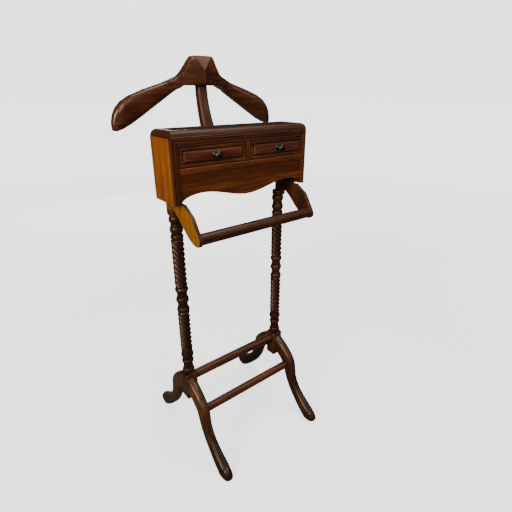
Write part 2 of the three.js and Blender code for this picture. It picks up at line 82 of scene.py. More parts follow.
class Nodes:
    """Builds one material's node tree: each call adds a node and returns its first output."""

    def __init__(self, name):
        self.material = bpy.data.materials.new(name)
        self.material.use_nodes = True
        self.tree = self.material.node_tree
        self.shader = self.tree.nodes["Principled BSDF"]

    def feed(self, socket, value):
        if isinstance(value, bpy.types.NodeSocket):
            self.tree.links.new(value, socket)
        elif socket.type == "RGBA" and len(value) == 3:
            socket.default_value = (*value, 1)
        else:
            socket.default_value = value

    def add(self, kind, output=0, settings=None, **inputs):
        node = self.tree.nodes.new("ShaderNode" + kind)
        for key, value in (settings or {}).items():
            setattr(node, key, value)
        for key, value in inputs.items():
            name = key.replace("_", " ")
            self.feed(node.inputs[int(key[1:]) if key[1:].isdigit() else name], value)
        return node.outputs[output]

    def ramp(self, value, *stops):
        """A colour ramp through (place, colour) stops."""
        node = self.tree.nodes.new("ShaderNodeValToRGB")
        elements = node.color_ramp.elements
        while len(elements) < len(stops):
            elements.new(0.5)
        for element, (place, color) in zip(elements, stops):
            element.position = place
            element.color = (*color, 1) if isinstance(color, tuple) else (color, color, color, 1)
        self.feed(node.inputs["Fac"], value)
        return node.outputs["Color"]

    def math(self, operation, first, second=0.0):
        return self.add("Math", settings={"operation": operation}, i0=first, i1=second)

    def mix(self, amount, first, second, blend="MIX"):
        node = self.tree.nodes.new("ShaderNodeMix")
        node.data_type = "RGBA"
        node.blend_type = blend
        self.feed(node.inputs["Factor"], amount)
        self.feed(node.inputs[6], first)
        self.feed(node.inputs[7], second)
        return node.outputs[2]

    def set(self, **values):
        """Feeds the shader's own sockets."""
        for key, value in values.items():
            self.feed(self.shader.inputs[key.replace("_", " ")], value)


GRAIN_STRETCH = 0.055
GRAIN_SCALE = {"X": (GRAIN_STRETCH, 1, 1), "Y": (1, GRAIN_STRETCH, 1), "Z": (1, 1, GRAIN_STRETCH)}
GRAIN_BEND = (0.02, 0.02, 0.02)
STREAK_SCALE = 110.0
BAND_SCALE = STREAK_SCALE / 4.5
PORE_SCALE = STREAK_SCALE * 7
PORE_SHADE = 0.4
# Painted shade in crevices: how dark it is against the dark colour, and how strongly it is laid on.
CREVICE_SHADE_FACTOR = 0.35
CREVICE_SHADE_COVER = 0.75
# Painted shade towards the floor: heights in metres over which it fades from full to none.
FLOOR_SHADE_HEIGHTS = (0.02, 0.06, 0.11, 0.16, 0.2)
WARM_SHINE = (1.0, 0.72, 0.48)


def rgb(red, green, blue):
    """A colour given as 8-bit sRGB, turned to linear."""
    def linear(value):
        value /= 255
        return value / 12.92 if value < 0.04045 else ((value + 0.055) / 1.055) ** 2.4
    return (linear(red), linear(green), linear(blue))


def wood(name, axis, colors, rough=0.38, coat=0.3, wear_and_sheen=0.25, floor_shade=0.0):
    """Lacquered wood with its grain along one axis, in a dark, a middle and a light colour."""
    dark, middle, light = colors
    n = Nodes(name)
    place = n.add("TexCoord", output=3)
    bend = n.add("TexNoise", output=1, Vector=place, Scale=5.0, Detail=2.0)
    bent = n.add("VectorMath", settings={"operation": "MULTIPLY_ADD"}, i0=bend, i1=GRAIN_BEND, i2=place)
    along = n.add("Mapping", Vector=bent, Scale=GRAIN_SCALE[axis])
    streaks = n.add("TexNoise", Vector=along, Scale=STREAK_SCALE, Detail=7.0, Roughness=0.62, Distortion=0.25)
    bands = n.add("TexNoise", Vector=along, Scale=BAND_SCALE, Detail=3.0, Roughness=0.5, Distortion=0.6)
    pores = n.add("TexNoise", Vector=along, Scale=PORE_SCALE, Detail=2.0, Roughness=0.5)
    patches = n.add("TexNoise", Vector=place, Scale=7.0, Detail=3.0, Roughness=0.55)

    figure = n.math("ADD", n.math("MULTIPLY", streaks, 0.55), n.math("MULTIPLY", bands, 0.45))
    color = n.ramp(figure, (0.34, dark), (0.5, middle), (0.66, light))
    clouds = n.ramp(patches, (0.3, 0.62), (0.7, 1.25))
    color = n.mix(1.0, color, clouds, "MULTIPLY")
    pits = n.ramp(pores, (0.36, 1.0), (0.46, 0.0))
    color = n.mix(n.math("MULTIPLY", pits, PORE_SHADE), color, dark)
    pointiness = n.add("NewGeometry", output=7)
    # Real wear and painted highlight: convex edges and bead tops (high pointiness) are lightened towards the
    # light colour.
    edge = n.ramp(pointiness, (0.5, 0.0), (0.62, 1.0))
    color = n.mix(n.math("MULTIPLY", edge, wear_and_sheen), color, light)
    # Painted shade: hollows (low pointiness) are darkened, as shade would darken them.
    crevice = n.ramp(pointiness, (0.38, 1.0), (0.49, 0.0))
    crevice_shade = tuple(CREVICE_SHADE_FACTOR * c for c in dark)
    color = n.mix(n.math("MULTIPLY", crevice, CREVICE_SHADE_COVER), color, crevice_shade)

    # Painted shade: the colour darkens towards the floor, as the low parts get less light.
    if floor_shade:
        above_floor = n.add("SeparateXYZ", output=2, Vector=place)
        stops = [(z, 1 - floor_shade * (1 - ease(z, FLOOR_SHADE_HEIGHTS[0], FLOOR_SHADE_HEIGHTS[-1]))) for z in FLOOR_SHADE_HEIGHTS]
        color = n.mix(1.0, color, n.ramp(above_floor, *stops), "MULTIPLY")

    dullness = n.math("ADD", rough, n.math("MULTIPLY", n.math("SUBTRACT", streaks, 0.5), 0.2))
    dullness = n.math("ADD", dullness, n.math("MULTIPLY", pits, 0.1))
    height = n.math("SUBTRACT", n.math("MULTIPLY", streaks, 0.35), n.math("MULTIPLY", pits, 0.5))
    rounded = n.add("Bevel", settings={"samples": 4}, Radius=0.6 * MM)
    bump = n.add("Bump", Strength=0.08, Distance=0.5 * MM, Height=height, Normal=rounded)
    n.set(Base_Color=color, Roughness=dullness, Normal=bump, Coat_Normal=rounded)
    n.set(Coat_Weight=coat, Coat_Roughness=0.17, Coat_IOR=1.45)
    n.set(Specular_IOR_Level=0.4, Specular_Tint=WARM_SHINE)
    return n.material


MAHOGANY = (rgb(28, 9, 3), rgb(60, 25, 11), rgb(96, 48, 24))
DULL_WOOD = (rgb(24, 8, 3), rgb(52, 22, 10), rgb(86, 44, 22))
HANGER_WOOD = (rgb(34, 13, 6), rgb(74, 36, 19), rgb(112, 62, 34))
RED_WOOD = (rgb(34, 12, 7), rgb(70, 31, 20), rgb(104, 54, 36))
RAIL_WOOD = (rgb(30, 11, 4), rgb(72, 31, 12), rgb(114, 60, 27))
LEG_WOOD = (rgb(20, 8, 4), rgb(58, 27, 14), rgb(106, 60, 32))
DEEP_WOOD = (rgb(14, 5, 3), rgb(34, 14, 8), rgb(84, 46, 26))
AMBER = (rgb(84, 34, 6), rgb(126, 66, 16), rgb(160, 94, 30))
HONEY = (rgb(112, 64, 4), rgb(150, 94, 9), rgb(178, 120, 20))
INNER_WOOD = (rgb(120, 84, 52), rgb(164, 122, 80), rgb(192, 152, 108))


def felt():
    """Short-napped black felt, a little dusty."""
    n = Nodes("felt")
    place = n.add("TexCoord", output=3)
    nap = n.add("TexNoise", Vector=place, Scale=2600.0, Detail=3.0, Roughness=0.7)
    crush = n.add("TexNoise", Vector=place, Scale=40.0, Detail=3.0)
    color = n.ramp(nap, (0.3, rgb(4, 4, 5)), (0.7, rgb(18, 17, 18)))
    color = n.mix(n.math("MULTIPLY", crush, 0.4), color, rgb(10, 9, 10))
    height = n.math("ADD", nap, n.math("MULTIPLY", crush, 0.6))
    bump = n.add("Bump", Strength=0.7, Distance=0.4 * MM, Height=height)
    n.set(Base_Color=color, Roughness=n.math("ADD", 0.8, n.math("MULTIPLY", nap, 0.2)), Normal=bump)
    n.set(Sheen_Weight=0.25, Sheen_Roughness=0.5, Specular_IOR_Level=0.2)
    return n.material


def bronze():
    """Dark bronzed metal, rubbed brighter where fingers touch it."""
    n = Nodes("dark_bronze")
    place = n.add("TexCoord", output=3)
    stain = n.add("TexNoise", Vector=place, Scale=320.0, Detail=4.0, Roughness=0.6)
    scratch = n.add("TexNoise", Vector=place, Scale=2200.0, Detail=2.0)
    color = n.ramp(stain, (0.35, rgb(14, 17, 16)), (0.55, rgb(44, 48, 42)), (0.75, rgb(96, 94, 72)))
    edge = n.ramp(n.add("NewGeometry", output=7), (0.5, 0.0), (0.6, 1.0))
    color = n.mix(n.math("MULTIPLY", edge, 0.6), color, rgb(132, 124, 92))
    rough = n.math("ADD", 0.16, n.math("MULTIPLY", stain, 0.22))
    bump = n.add("Bump", Strength=0.12, Distance=0.2 * MM, Height=n.math("ADD", stain, scratch))
    n.set(Base_Color=color, Roughness=rough, Normal=bump, Metallic=0.9)
    return n.material


def screw_steel():
    """Plain turned steel."""
    n = Nodes("screw_steel")
    place = n.add("TexCoord", output=3)
    drawn = n.add("Mapping", Vector=place, Scale=(0.2, 1, 1))
    lines = n.add("TexNoise", Vector=drawn, Scale=2400.0, Detail=3.0)
    color = n.ramp(lines, (0.3, rgb(116, 112, 106)), (0.7, rgb(178, 174, 166)))
    rough = n.math("ADD", 0.25, n.math("MULTIPLY", lines, 0.25))
    bump = n.add("Bump", Strength=0.2, Distance=0.1 * MM, Height=lines)
    n.set(Base_Color=color, Roughness=rough, Normal=bump, Metallic=1.0)
    return n.material


TONES = {
    "mahogany": dict(colors=MAHOGANY),
    "red": dict(colors=RED_WOOD),
    "leg": dict(colors=LEG_WOOD, wear_and_sheen=0.4, floor_shade=0.7, coat=0.2),
    "rail": dict(colors=RAIL_WOOD),
    # The posts' strong edge lightening paints highlights on their bead tops.
    "deep": dict(colors=DEEP_WOOD, wear_and_sheen=0.6, coat=0.1),
    "dull": dict(colors=DULL_WOOD, rough=0.42, coat=0.08),
    "hanger": dict(colors=HANGER_WOOD, rough=0.33, coat=0.6),
    "amber": dict(colors=AMBER, wear_and_sheen=0.2),
    "honey": dict(colors=HONEY, wear_and_sheen=0.15),
    "inner": dict(colors=INNER_WOOD, rough=0.55, coat=0.0, wear_and_sheen=0.2),
}
WOODS = {}


def grained(tone, axis):
    """The wood of that tone with its grain along that axis, made once."""
    key = f"{tone}_{axis.lower()}"
    if key not in WOODS:
        WOODS[key] = wood(key, axis, **TONES[tone])
    return WOODS[key]


FELT = felt()
BRONZE = bronze()
STEEL = screw_steel()


# -------------------------------------------------------------- shape helpers

def closed_mesh(name, verts, faces):
    """A mesh with its doubled points merged and its faces turned outward."""
    mesh = bpy.data.meshes.new(name)
    mesh.from_pydata([tuple(v) for v in verts], [], faces)
    bm = bmesh.new()
    bm.from_mesh(mesh)
    bmesh.ops.remove_doubles(bm, verts=bm.verts, dist=1e-6)
    bmesh.ops.recalc_face_normals(bm, faces=bm.faces)
    bm.to_mesh(mesh)
    bm.free()
    return mesh


def smooth(mesh, sharp_angle):
    mesh.shade_smooth()
    mesh.set_sharp_from_angle(angle=math.radians(sharp_angle))


BEVEL_FROM_ANGLE = math.radians(35)


def add_bevel(obj, width, segments=3):
    bevel = obj.modifiers.new("round_edges", "BEVEL")
    bevel.width = width
    bevel.segments = segments
    bevel.limit_method = "ANGLE"
    bevel.angle_limit = BEVEL_FROM_ANGLE
    bevel.harden_normals = True


def add_piece(name, shape, material, nodes, body="frame", sharp=35, bevel=0.0):
    """A new piece from (points, faces) that rides on a body and stands for CAD nodes."""
    mesh = closed_mesh(name, *shape)
    smooth(mesh, sharp)
    mesh.materials.append(material)
    obj = bpy.data.objects.new(name, mesh)
    bpy.context.scene.collection.objects.link(obj)
    if bevel:
        add_bevel(obj, bevel)
    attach(obj, body)
    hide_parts(*nodes)
    return obj


def loft(rings):
    """Points and faces of a closed skin over rings of equal length."""
    count = len(rings[0])
    last = (len(rings) - 1) * count
    points = [p for ring in rings for p in ring]
    faces = []
    for start in range(0, last, count):
        for i in range(count):
            a, b = start + i, start + (i + 1) % count
            faces.append((a, b, b + count, a + count))
    faces.append(tuple(range(count)))
    faces.append(tuple(range(last, last + count)))
    return points, faces


def box_shape(low, high):
    """Points and faces of a box between two corners."""
    corners = ((low[0], low[1]), (high[0], low[1]), (high[0], high[1]), (low[0], high[1]))
    return loft([[(x, y, z) for x, y in corners] for z in (low[2], high[2])])


def lathe(profile, origin, along, sides=48):
    """A solid turned about a line: profile has (radius, distance along) pairs."""
    axis = Vector(along)
    across = axis.orthogonal().normalized()
    other = axis.cross(across)
    rings = []
    for radius, distance in profile:
        centre = Vector(origin) + distance * axis
        ring = [centre + radius * (math.cos(a) * across + math.sin(a) * other)
                for a in (TAU * i / sides for i in range(sides))]
        rings.append(ring)
    return loft(rings)


def smooth_path(points, count):
    """Evenly spaced points on a Catmull-Rom curve through the given ones."""
    p = np.array(points, float)
    p = np.vstack([2 * p[0] - p[1], p, 2 * p[-1] - p[-2]])
    fine = []
    for i in range(1, len(p) - 2):
        for t in np.linspace(0, 1, 24, endpoint=False):
            a, b, c, d = p[i - 1], p[i], p[i + 1], p[i + 2]
            fine.append(0.5 * (2 * b + (c - a) * t + (2 * a - 5 * b + 4 * c - d) * t**2
                               + (3 * b - a - 3 * c + d) * t**3))
    fine = np.array(fine + [p[-2]])
    run = np.concatenate([[0], np.cumsum(np.linalg.norm(np.diff(fine, axis=0), axis=1))])
    even = np.linspace(0, run[-1], count)
    return np.stack([np.interp(even, run, fine[:, k]) for k in range(p.shape[1])], 1)


def spread(values, t):
    """The value at t from 0 to 1 of evenly spaced samples."""
    return float(np.interp(t, np.linspace(0, 1, len(values)), values))


def ease(x, start, end):
    """0 before start, 1 after end, smooth between."""
    t = min(max((x - start) / (end - start), 0.0), 1.0)
    return t * t * (3 - 2 * t)


def rounded_radius(angle, half_width, half_height, power):
    """Distance from the middle to a rounded rectangle's outline: power 2 is an ellipse."""
    c = abs(math.cos(angle)) / half_width
    s = abs(math.sin(angle)) / half_height
    return (c**power + s**power) ** (-1 / power)


def section(half_width, half_height, power, sides):
    """Points round a rounded rectangle, closer together at its corners."""
    outline = []
    for i in range(sides):
        turn = TAU * (i + 0.5) / sides
        angle = math.atan2(half_height * math.sin(turn), half_width * math.cos(turn))
        r = rounded_radius(angle, half_width, half_height, power)
        outline.append((r * math.cos(angle), r * math.sin(angle)))
    return outline


def sweep(path, x, widths, depths, power, sides=28, round_end=0.0):
    """A bar swept along a path of (y, z) points in a plane of constant x."""
    rings = []
    run = np.linalg.norm(np.diff(path, axis=0), axis=1)
    left = np.concatenate([np.cumsum(run[::-1])[::-1], [0]])
    for i, (y, z) in enumerate(path):
        t = i / (len(path) - 1)
        ahead = path[min(i + 1, len(path) - 1)] - path[max(i - 1, 0)]
        ty, tz = ahead / np.linalg.norm(ahead)
        shrink = 1.0
        if round_end and left[i] < round_end:
            shrink = math.sqrt(max(1 - (1 - left[i] / round_end) ** 2, 0.01))
        outline = section(spread(widths, t) / 2 * shrink, spread(depths, t) / 2 * shrink, power, sides)
        rings.append([(x + u, y + v * tz, z - v * ty) for u, v in outline])
    return loft(rings)


def cut(obj, place, normal):
    """Removes what is on the normal's side of a plane, and closes the cut."""
    bm = bmesh.new()
    bm.from_mesh(obj.data)
    everything = bm.verts[:] + bm.edges[:] + bm.faces[:]
    bmesh.ops.bisect_plane(bm, geom=everything, plane_co=place, plane_no=normal, clear_outer=True)
    bmesh.ops.holes_fill(bm, edges=[e for e in bm.edges if e.is_boundary])
    bmesh.ops.recalc_face_normals(bm, faces=bm.faces)
    bm.to_mesh(obj.data)
    bm.free()


def paint_where(obj, material, chosen):
    """Gives the faces that the test chosen picks out a second material."""
    obj.data.materials.append(material)
    for face in obj.data.polygons:
        if chosen(face):
            face.material_index = 1


def paint_outside(obj, sign, material):
    """Gives the faces on an object's outer side a second material."""
    paint_where(obj, material, lambda face: face.normal.x * sign > 0.9)


# ---------------------------------------------------------------------- posts

POST_X = 170
BLOCK_HALF = 18.5
BLOCK_BOTTOM = 174
BLOCK_TOP = 261
BLOCK_CHAMFER = 0.8
BLOCK_POWER = 22
POST_NECK = 14.0
TWIST_RADIUS = 16.9
TWIST_DEPTH = 4.2
TWIST_LEAD = 72.5
TWIST_STRANDS = 5
TWIST_STEP = 1.45
TWIST_END_RADIUS = 15.4
TWIST_FADE = 5
GROOVE_POWER = 0.8
TWISTS = ((343, 471), (551, 685))
SHOULDER = ((749, 14), (749.3, 16.4), (751, 19.4), (754, 22), (758, 24.2), (762, 26.2), (764, 27))
POST_TOP = ((749.5, 14), (752, 16.2), (753, 16.4), (763.3, 16.4), (764, 15.7))
TONGUE_INSET = 4
TONGUE_REAR = 13.7
NOTCH_REAR_FOOT = 779.6
NOTCH_FRONT_FOOT = 769.6
NOTCH_BEND = (-12.7, 772.6)
FIT = 0.3
CLEAR = 1
POST_SIDES = 80
BEAD_STEPS = 10


def bead(height, radius, half_length):
    """(height, radius) pairs over a half-round ring."""
    pairs = []
    for i in range(BEAD_STEPS + 1):
        t = -math.cos(math.pi * i / BEAD_STEPS)
        bulge = (radius - POST_NECK) * math.sqrt(max(1 - t * t, 0))
        pairs.append((height + t * half_length, POST_NECK + bulge))
    return pairs


def swell(start, end, steps=9):
    """(height, radius) pairs that ease from one pair to another."""
    (z0, r0), (z1, r1) = start, end
    return [(z0 + (z1 - z0) * i / steps, r0 + (r1 - r0) * ease(i / steps, 0, 1)) for i in range(steps + 1)]


def twist_band(low, high):
    """(height, radius) pairs up one twisted length."""
    heights = np.arange(low + 2, high - 1, TWIST_STEP)
    return [(low, TWIST_END_RADIUS), *((z, TWIST_RADIUS) for z in heights), (high, TWIST_END_RADIUS)]


def post_profile():
    """(height, radius) pairs in millimetres, from the block up into the tongue's shoulder."""
    pairs = bead(270.5, 17.6, 9)
    pairs += swell((281, 14.6), (290, 14.0), 5)
    pairs += bead(304, 17.2, 6.5)
    pairs += swell((312, 14.2), (326, 18.2)) + swell((327, 18.2), (341, 15.0))
    pairs += twist_band(*TWISTS[0])
    pairs += bead(480, 17.4, 7)
    pairs += swell((488.5, 14.2), (494, 13.6), 3) + [(500, 13.8), (501, 14.4)]
    pairs += bead(510.6, 17.6, 8)
    pairs += swell((520, 14.4), (528, 13.8), 4)
    pairs += swell((529, 14.0), (542, 18.2)) + swell((543, 18.2), (549, 15.2), 5)
    pairs += twist_band(*TWISTS[1])
    pairs += bead(693, 16.9, 6.5)
    pairs += bead(713, 17.2, 8.5)
    pairs += swell((723, 14.8), (728, 14.0), 3)
    pairs += bead(740, 17.4, 8.5)
    pairs += POST_TOP
    return sorted(pairs)


def twist_depth(height):
    """How deep the twist's grooves are at a height, fading out at each end."""
    for low, high in TWISTS:
        if low < height < high:
            fade_in = ease(height, low, low + TWIST_FADE)
            fade_out = 1 - ease(height, high - TWIST_FADE, high)
            return TWIST_DEPTH * fade_in * fade_out
    return 0.0


def plan_ring(centre, radius_at, z):
    """A ring of points at one height, in metres, from its radius in millimetres at each angle."""
    ring = []
    for i in range(POST_SIDES):
        angle = TAU * (i + 0.5) / POST_SIDES
        radius = radius_at(angle) * MM
        ring.append((centre * MM + radius * math.cos(angle), radius * math.sin(angle), z * MM))
    return ring


def square_ring(x, half, z):
    return plan_ring(x, lambda angle: rounded_radius(angle, half, half, BLOCK_POWER), z)


def round_ring(x, radius, z):
    def grooved(angle):
        phase = angle + TAU * z / TWIST_LEAD
        return radius - twist_depth(z) * (1 - abs(math.cos(TWIST_STRANDS / 2 * phase)) ** GROOVE_POWER)
    return plan_ring(x, grooved, z)


def tongue_shape(x, sign, outer, top, below):
    """The flat tongue above a post, rounded into a shoulder where it leaves the turning."""
    middle = (TONGUE_INSET + outer) / 2
    half = (outer - TONGUE_INSET) / 2

    def ring(shoulder, rear, z):
        def reach(angle):
            c, s = math.cos(angle), math.sin(angle)
            flat = half / max(abs(c), 1e-6)
            edge = (rear if s > 0 else BLOCK_HALF) / max(abs(s), 1e-6)
            curve = math.sqrt(shoulder ** 2 - (middle * s) ** 2) - middle * c * sign
            return min(flat, edge, curve)
        return plan_ring(x + sign * middle, reach, z)

    full = SHOULDER[-1][1]
    rings = [ring(radius, BLOCK_HALF, z) for z, radius in SHOULDER]
    rings += [ring(full, BLOCK_HALF, below), ring(full, TONGUE_REAR, below), ring(full, TONGUE_REAR, top)]
    return loft(rings)


def notch(obj, outline, x0, x1):
    """Takes out of an object the prism over an outline of (y, z) points between two x."""
    shape = loft([[(x * MM, y * MM, z * MM) for y, z in outline] for x in (x0, x1)])
    cutter = bpy.data.objects.new("cutter", closed_mesh("cutter", *shape))
    bpy.context.scene.collection.objects.link(cutter)
    step = obj.modifiers.new("notch", "BOOLEAN")
    step.operation = "DIFFERENCE"
    step.solver = "EXACT"
    step.object = cutter
    cut_mesh = bpy.data.meshes.new_from_object(obj.evaluated_get(bpy.context.evaluated_depsgraph_get()))
    obj.modifiers.remove(step)
    obj.data = cut_mesh
    bpy.data.objects.remove(cutter)


def add_post(side, sign):
    """A post turned above its square block, and the tongue on top that its bracket is let into."""
    x = sign * POST_X
    rings = [
        square_ring(x, BLOCK_HALF - BLOCK_CHAMFER, BLOCK_BOTTOM),
        square_ring(x, BLOCK_HALF, BLOCK_BOTTOM + BLOCK_CHAMFER),
        square_ring(x, BLOCK_HALF, BLOCK_TOP - 2 * BLOCK_CHAMFER),
        square_ring(x, BLOCK_HALF - 2 * BLOCK_CHAMFER, BLOCK_TOP),
    ]
    rings += [round_ring(x, radius, z) for z, radius in post_profile() if z > BLOCK_TOP]
    node = f"{side}_post"
    add_piece(f"{side}_twisted_post", loft(rings), grained("deep", "Z"), [node], sharp=48)

    bracket_low, bracket_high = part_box(f"{side}_bracket")
    near, far = sorted((abs(bracket_low.x) / MM, abs(bracket_high.x) / MM))
    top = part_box(node)[1].z / MM
    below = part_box(f"{side}_side_panel")[0].z / MM - FIT
    shape = tongue_shape(x, sign, far - POST_X, top, below)
    tongue = add_piece(f"{side}_post_tongue", shape, grained("rail", "Z"), [node], sharp=30)
    rear, front = bracket_high.y / MM + FIT, -BLOCK_HALF - CLEAR
    outline = [(rear, NOTCH_REAR_FOOT), (rear, top + CLEAR), (front, top + CLEAR),
               (front, NOTCH_FRONT_FOOT), NOTCH_BEND]
    notch(tongue, outline, sign * (near - FIT), sign * (far + CLEAR))
    smooth(tongue.data, 30)
    paint_outside(tongue, sign, grained("amber", "Z"))
    add_bevel(tongue, 0.8 * MM, segments=2)


# ----------------------------------------------------------------------- legs

LEG_X = 172.5 * MM
LEG_LINE = ((4, 226), (32, 211), (58, 192), (76, 171), (83.5, 147), (90, 122),
            (102, 97), (118.5, 74), (143, 49.5), (168, 29), (188, 17), (207, 28))
LEG_DEPTHS = (50, 50, 50, 50, 44, 38, 35, 35, 37, 41, 43, 38)
LEG_WIDTHS = (32, 32, 31, 30, 29, 28, 27.5, 27.5, 29, 31, 32, 25)
LEG_STEPS = 72
LEG_POWER = 3.0
TOE_ROUND = 11 * MM
SOLE_HEIGHT = 0.15 * MM


def add_leg(side, sign, end, direction):
    """A carved leg that sweeps out from its post's block and ends in a rounded toe."""
    node = f"{side}_{end}_leg"
    path = smooth_path([(direction * out * MM, z * MM) for out, z in LEG_LINE], LEG_STEPS)
    widths = [w * MM for w in LEG_WIDTHS]
    depths = [d * MM for d in LEG_DEPTHS]
    points, faces = sweep(path, sign * LEG_X, widths, depths, LEG_POWER, round_end=TOE_ROUND)
    points = [(x, y, max(z, SOLE_HEIGHT)) for x, y, z in points]
    leg = add_piece(f"{node}_carved", (points, faces), grained("leg", "Z"), [node], sharp=50)
    low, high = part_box(node)
    face = low.y if direction > 0 else high.y
    cut(leg, (0, face, 0), (0, -direction, 0))
    smooth(leg.data, 50)


# ---------------------------------------------------------------------- rails

ROD_END_ROUND = 0.6 * MM
ROD_TAPER = 0.012
ROD_RINGS = 41


def add_rod(node, name, tone):
    """A round rail along X, very slightly fuller at the middle, with rounded ends."""
    low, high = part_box(node)
    radius = (high.z - low.z) / 2
    centre = (low + high) / 2
    half = (high.x - low.x) / 2
    profile = [(radius - ROD_END_ROUND, -half)]
    for t in np.linspace(-1, 1, ROD_RINGS).tolist():
        profile.append((radius * (1 - ROD_TAPER * t * t), t * (half - ROD_END_ROUND)))
    profile.append((radius - ROD_END_ROUND, half))
    shape = lathe(profile, (0, centre.y, centre.z), (1, 0, 0))
    add_piece(name, shape, grained(tone, "X"), [node])


# ------------------------------------------------------------------- brackets

BRACKET_LOWER = ((4.1, 780), (-12.7, 773), (-25, 767.5), (-38, 759), (-53, 746.5), (-64, 736), (-76.7, 725),
                 (-91.7, 714.5), (-106, 708), (-121, 704.8), (-131, 707))
BRACKET_NOSE = ((-135, 710), (-137.7, 714.5), (-138.5, 720), (-137.8, 725))
BRACKET_FRONT = ((-134, 731), (-121, 751), (-107, 772), (-90, 782), (-78, 789.4), (-72, 792.7),
                 (-54, 792.7), (-54, 857), (4.1, 857))
BRACKET_STEPS = 40


def add_bracket(side, sign):
    node = f"{side}_bracket"
    low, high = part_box(node)
    outline = [*smooth_path(BRACKET_LOWER, BRACKET_STEPS), *BRACKET_NOSE, *BRACKET_FRONT]
    rings = [[(x, y * MM, z * MM) for y, z in outline] for x in (low.x, high.x)]
    bracket = add_piece(f"{side}_bracket_shaped", loft(rings), grained("dull", "Z"), [node],
                        bevel=1.4 * MM)
    paint_outside(bracket, sign, grained("honey", "Z"))


# -------------------------------------------------------------------- cabinet

STILE_PROFILE = (
    (0.0, 3.2), (0.3, 1.3), (1.2, 0.35), (2.6, 0.0), (4.0, 0.35), (4.9, 1.3), (5.2, 2.9), (6.1, 2.9),
    (6.4, 1.5), (7.0, 1.1), (13.6, 1.1), (14.2, 1.6), (14.6, 2.5), (15.8, 2.9), (17.0, 2.5), (17.6, 2.0),
    (18.6, 2.1), (19.0, 2.9),
)
STILE_WIDTH = STILE_PROFILE[-1][0] * MM


def moulding(profile, depth, place):
    """A bar with a moulded face, lofted between two mitred ends.

    The profile has (distance in from the outer edge, distance back) pairs, and
    place(end, inset, back) gives the point there at end 0 or 1.
    """
    closed = [(inset * MM, back * MM) for inset, back in profile]
    closed += [(closed[-1][0], depth), (closed[0][0], depth)]
    return loft([[place(end, inset, back) for inset, back in closed] for end in (0, 1)])


def add_face_frame():
    """The moulded stiles and top rail round the drawers, mitred where they meet."""
    rail_low, rail_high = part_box("top_rail")
    reach = rail_high.x
    widths = {}
    for side, sign in SIDES:
        low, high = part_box(f"{side}_stile")
        widths[sign] = high.x - low.x
        squeeze = widths[sign] / STILE_WIDTH
        drop = (high.z - rail_low.z) / STILE_WIDTH

        def place(end, inset, back):
            top = high.z - inset * drop
            return (sign * (reach - inset * squeeze), low.y + back, top if end else low.z)

        add_piece(f"{side}_stile_moulded", moulding(STILE_PROFILE, high.y - low.y, place),
                  grained("mahogany", "Z"), [f"{side}_stile"], sharp=30)

    drop = (rail_high.z - rail_low.z) / STILE_WIDTH

    def place_top(end, inset, back):
        sign = 1 if end else -1
        x = sign * (reach - inset * widths[sign] / STILE_WIDTH)
        return (x, rail_low.y + back, rail_high.z - inset * drop)

    add_piece("top_rail_moulded", moulding(STILE_PROFILE, rail_high.y - rail_low.y, place_top),
              grained("mahogany", "X"), ["top_rail"], sharp=30)


def carry_over(node, material, bevel=0.6 * MM):
    """A CAD node whose shape is right: better material, softened edges."""
    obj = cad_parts[node]
    obj.data.materials.clear()
    obj.data.materials.append(material)
    if bevel:
        add_bevel(obj, bevel, segments=2)


ARCH_TOP = 813.8 * MM
ARCH_PEAK_X = 134 * MM
APRON_END = 793.3 * MM
APRON_STEPS = 120


def apron_edge(distance, end, bottom):
    """Height of the apron's lower edge, at a distance from the middle of its lobe."""
    if distance < ARCH_PEAK_X:
        return bottom + (ARCH_TOP - bottom) * (1 - math.cos(math.pi * distance / ARCH_PEAK_X)) / 2
    along = (distance - ARCH_PEAK_X) / (end - ARCH_PEAK_X)
    return APRON_END + (ARCH_TOP - APRON_END) * math.sqrt(max(0.0, 1 - along * along))


def add_apron():
    low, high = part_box("apron")
    middle = sum(corner.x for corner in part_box("drawer_divider")) / 2
    outline = [(high.x, high.z), (low.x, high.z)]
    for i in range(APRON_STEPS + 1):
        x = low.x + (high.x - low.x) * (1 - math.cos(math.pi * i / APRON_STEPS)) / 2
        end = middle - low.x if x < middle else high.x - middle
        outline.append((x, apron_edge(abs(x - middle), end, low.z)))
    rings = [[(x, y, z) for x, z in outline] for y in (low.y, high.y)]
    add_piece("apron_shaped", loft(rings), grained("rail", "X"), ["apron"], bevel=1.1 * MM)


def add_cabinet():
    add_face_frame()
    add_apron()
    low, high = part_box("lower_rail")
    add_piece("lower_rail_rounded", box_shape(low, high), grained("rail", "X"), ["lower_rail"],
              bevel=1.6 * MM)
    low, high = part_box("drawer_divider")
    add_piece("drawer_divider_rounded", box_shape(low, high), grained("rail", "Z"), ["drawer_divider"],
              bevel=1.2 * MM)
    for side, _ in SIDES:
        carry_over(f"{side}_side_panel", grained("amber", "Z"), bevel=0.9 * MM)
    for node in ("back_panel", "tray_floor", "tray_front_rail", "drawer_floor"):
        carry_over(node, grained("mahogany", "X"))


# ----------------------------------------------------------------------- tray

RIM_ARC_CENTRE = (14.5, 2.9)
RIM_ARC_REACH = (13.1, 12.8)
RIM_ARC_STEPS = 12
MITRE_GAP = 0.12 * MM


def rim_profile():
    """(distance in, height) pairs in millimetres round the rim's quarter-round moulding."""
    arc = []
    for i in range(RIM_ARC_STEPS + 1):
        angle = math.pi / 2 * i / RIM_ARC_STEPS
        arc.append((RIM_ARC_CENTRE[0] - RIM_ARC_REACH[0] * math.cos(angle),
                    RIM_ARC_CENTRE[1] + RIM_ARC_REACH[1] * math.sin(angle)))
    return [(0.4, 0.0), (0.4, 2.0), (0.7, 2.4), *arc, (18.8, 15.7), (19.6, 15.4), (20.0, 14.8), (20.0, 0.0)]


